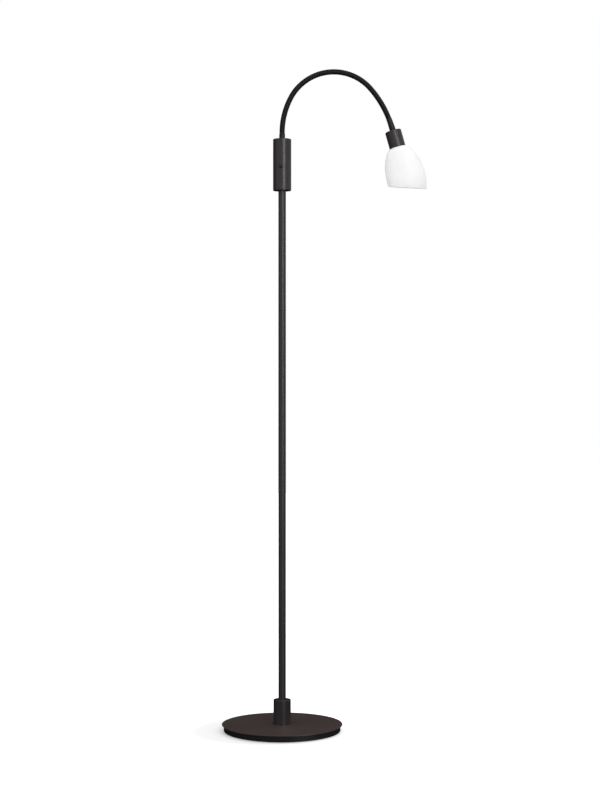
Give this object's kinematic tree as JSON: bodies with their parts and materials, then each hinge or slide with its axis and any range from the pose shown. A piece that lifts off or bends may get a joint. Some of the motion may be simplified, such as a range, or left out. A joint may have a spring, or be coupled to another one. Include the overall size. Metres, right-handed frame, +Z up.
{
  "type": "gooseneck reading floor lamp",
  "caption": "Reading floor lamp: round weighted base, slim pole with a switch housing, bendable ribbed neck and an oblique opal glass shade.",
  "frame": {"origin": "on the floor under the pole's axis, at the centre of the base's flat underside", "axes": "+Z up along the pole, +X the way the lamp head reaches out, -Y the side of the switch"},
  "size_m": [0.4334, 0.255, 1.4011],
  "materials": {
    "painted_steel": "satin dark bronze-black powder coat",
    "cast_weight": "black paint on cast iron",
    "floor_felt": "black felt",
    "black_rubber": "matte",
    "zinc_steel": "zinc plated",
    "black_plastic": "satin",
    "terminal_plastic": "cream nylon",
    "neck_steel": "matte black wound steel",
    "sleeve_steel": "satin black",
    "cap_metal": "satin dark bronze-black powder coat",
    "brass": "plain",
    "bulb_metal": "plain",
    "bulb_glass": "frosted",
    "opal_glass": "satin opal"
  },
  "bodies": {
    "stand": {"floor_pad": "floor_felt", "base_weight": "cast_weight", "base_cover": "painted_steel", "cord_inlet_bush": "black_rubber", "pole_stud": "zinc_steel", "stud_washer": "zinc_steel", "stud_nut": "zinc_steel", "pole_plug": "zinc_steel", "pole_collar": "painted_steel", "collar_screw": "zinc_steel", "pole_tube": "painted_steel", "housing_tube": "painted_steel", "housing_bottom_cap": "painted_steel", "housing_top_cap": "painted_steel", "pole_lock_ring": "zinc_steel", "housing_screws": "zinc_steel", "terminal_block": "terminal_plastic", "switch_body": "black_plastic", "switch_bezel": "black_plastic", "button_spring": "zinc_steel", "neck_lower_sleeve": "sleeve_steel", "neck_nut": "zinc_steel"},
    "button": {"switch_button": "black_plastic"},
    "neck_01": {"neck_section_01": "neck_steel"},
    "neck_02": {"neck_section_02": "neck_steel"},
    "neck_03": {"neck_section_03": "neck_steel"},
    "neck_04": {"neck_section_04": "neck_steel"},
    "neck_05": {"neck_section_05": "neck_steel"},
    "neck_06": {"neck_section_06": "neck_steel"},
    "neck_07": {"neck_section_07": "neck_steel"},
    "neck_08": {"neck_section_08": "neck_steel"},
    "neck_09": {"neck_section_09": "neck_steel"},
    "neck_10": {"neck_section_10": "neck_steel"},
    "neck_11": {"neck_section_11": "neck_steel"},
    "neck_12": {"neck_section_12": "neck_steel"},
    "neck_13": {"neck_section_13": "neck_steel"},
    "neck_14": {"neck_section_14": "neck_steel"},
    "head": {"neck_upper_sleeve": "sleeve_steel", "lampholder_cap": "cap_metal", "cap_nut": "zinc_steel", "lampholder": "black_plastic", "centre_contact": "brass", "screw_shell": "brass", "bulb_base": "bulb_metal", "bulb_globe": "bulb_glass", "glass_shade": "opal_glass", "shade_ring": "black_plastic"}
  },
  "joints": [
    {"name": "neck_lower_bend_1", "type": "hinge", "parent": "stand", "child": "neck_01", "pos_m": [0, 0, 1.2665], "axis": [0, 1, 0], "range_deg": [-27.5, 4]},
    {"name": "neck_lower_bend_2", "type": "hinge", "parent": "neck_01", "child": "neck_02", "pos_m": [0.00196, 0, 1.29138], "axis": [0, 1, 0], "range_deg": [-27.5, 4]},
    {"name": "neck_lower_bend_3", "type": "hinge", "parent": "neck_02", "child": "neck_03", "pos_m": [0.00779, 0, 1.31565], "axis": [0, 1, 0], "range_deg": [-27.5, 4]},
    {"name": "neck_side_bend_1", "type": "hinge", "parent": "neck_03", "child": "neck_04", "pos_m": [0.01734, 0, 1.3387], "axis": [0.891, 0, -0.4541], "range_deg": [-18, 18]},
    {"name": "neck_lower_bend_4", "type": "hinge", "parent": "neck_04", "child": "neck_05", "pos_m": [0.03116, 0, 1.35944], "axis": [0, 1, 0], "range_deg": [-27.5, 4]},
    {"name": "neck_lower_bend_5", "type": "hinge", "parent": "neck_05", "child": "neck_06", "pos_m": [0.04956, 0, 1.37625], "axis": [0, 1, 0], "range_deg": [-27.5, 4]},
    {"name": "neck_lower_bend_6", "type": "hinge", "parent": "neck_06", "child": "neck_07", "pos_m": [0.07146, 0, 1.38814], "axis": [0, 1, 0], "range_deg": [-27.5, 4]},
    {"name": "neck_side_bend_2", "type": "hinge", "parent": "neck_07", "child": "neck_08", "pos_m": [0.09557, 0, 1.39444], "axis": [0.1335, 0, -0.991], "range_deg": [-18, 18]},
    {"name": "neck_upper_bend_1", "type": "hinge", "parent": "neck_08", "child": "neck_09", "pos_m": [0.12049, 0, 1.39475], "axis": [0, 1, 0], "range_deg": [-27.5, 4]},
    {"name": "neck_upper_bend_2", "type": "hinge", "parent": "neck_09", "child": "neck_10", "pos_m": [0.14476, 0, 1.38907], "axis": [0, 1, 0], "range_deg": [-27.5, 4]},
    {"name": "neck_upper_bend_3", "type": "hinge", "parent": "neck_10", "child": "neck_11", "pos_m": [0.16695, 0, 1.37773], "axis": [0, 1, 0], "range_deg": [-27.5, 4]},
    {"name": "neck_side_bend_3", "type": "hinge", "parent": "neck_11", "child": "neck_12", "pos_m": [0.18577, 0, 1.36139], "axis": [-0.7421, 0, -0.6703], "range_deg": [-18, 18]},
    {"name": "neck_upper_bend_4", "type": "hinge", "parent": "neck_12", "child": "neck_13", "pos_m": [0.2013, 0, 1.34185], "axis": [0, 1, 0], "range_deg": [-27.5, 4]},
    {"name": "neck_upper_bend_5", "type": "hinge", "parent": "neck_13", "child": "neck_14", "pos_m": [0.21447, 0, 1.32064], "axis": [0, 1, 0], "range_deg": [-27.5, 4]},
    {"name": "neck_upper_bend_6", "type": "hinge", "parent": "neck_14", "child": "head", "pos_m": [0.22511, 0, 1.29805], "axis": [0, 1, 0], "range_deg": [-27.5, 4]},
    {"name": "switch_press", "type": "slide", "parent": "stand", "child": "button", "axis": [0.1323, 0.9912, 0], "range_m": [0, 0.0018], "stiffness_N_per_m": 600, "springref_m": -0.001, "deforming": ["button_spring"]}
  ],
  "couplings": [
    {"joint": "neck_lower_bend_2", "follows": "neck_lower_bend_1", "ratio": 1},
    {"joint": "neck_lower_bend_3", "follows": "neck_lower_bend_1", "ratio": 1},
    {"joint": "neck_lower_bend_4", "follows": "neck_lower_bend_1", "ratio": 1},
    {"joint": "neck_lower_bend_5", "follows": "neck_lower_bend_1", "ratio": 1},
    {"joint": "neck_lower_bend_6", "follows": "neck_lower_bend_1", "ratio": 1},
    {"joint": "neck_upper_bend_2", "follows": "neck_upper_bend_1", "ratio": 1},
    {"joint": "neck_upper_bend_3", "follows": "neck_upper_bend_1", "ratio": 1},
    {"joint": "neck_upper_bend_4", "follows": "neck_upper_bend_1", "ratio": 1},
    {"joint": "neck_upper_bend_5", "follows": "neck_upper_bend_1", "ratio": 1},
    {"joint": "neck_upper_bend_6", "follows": "neck_upper_bend_1", "ratio": 1},
    {"joint": "neck_side_bend_2", "follows": "neck_side_bend_1", "ratio": 1},
    {"joint": "neck_side_bend_3", "follows": "neck_side_bend_1", "ratio": 1}
  ]
}
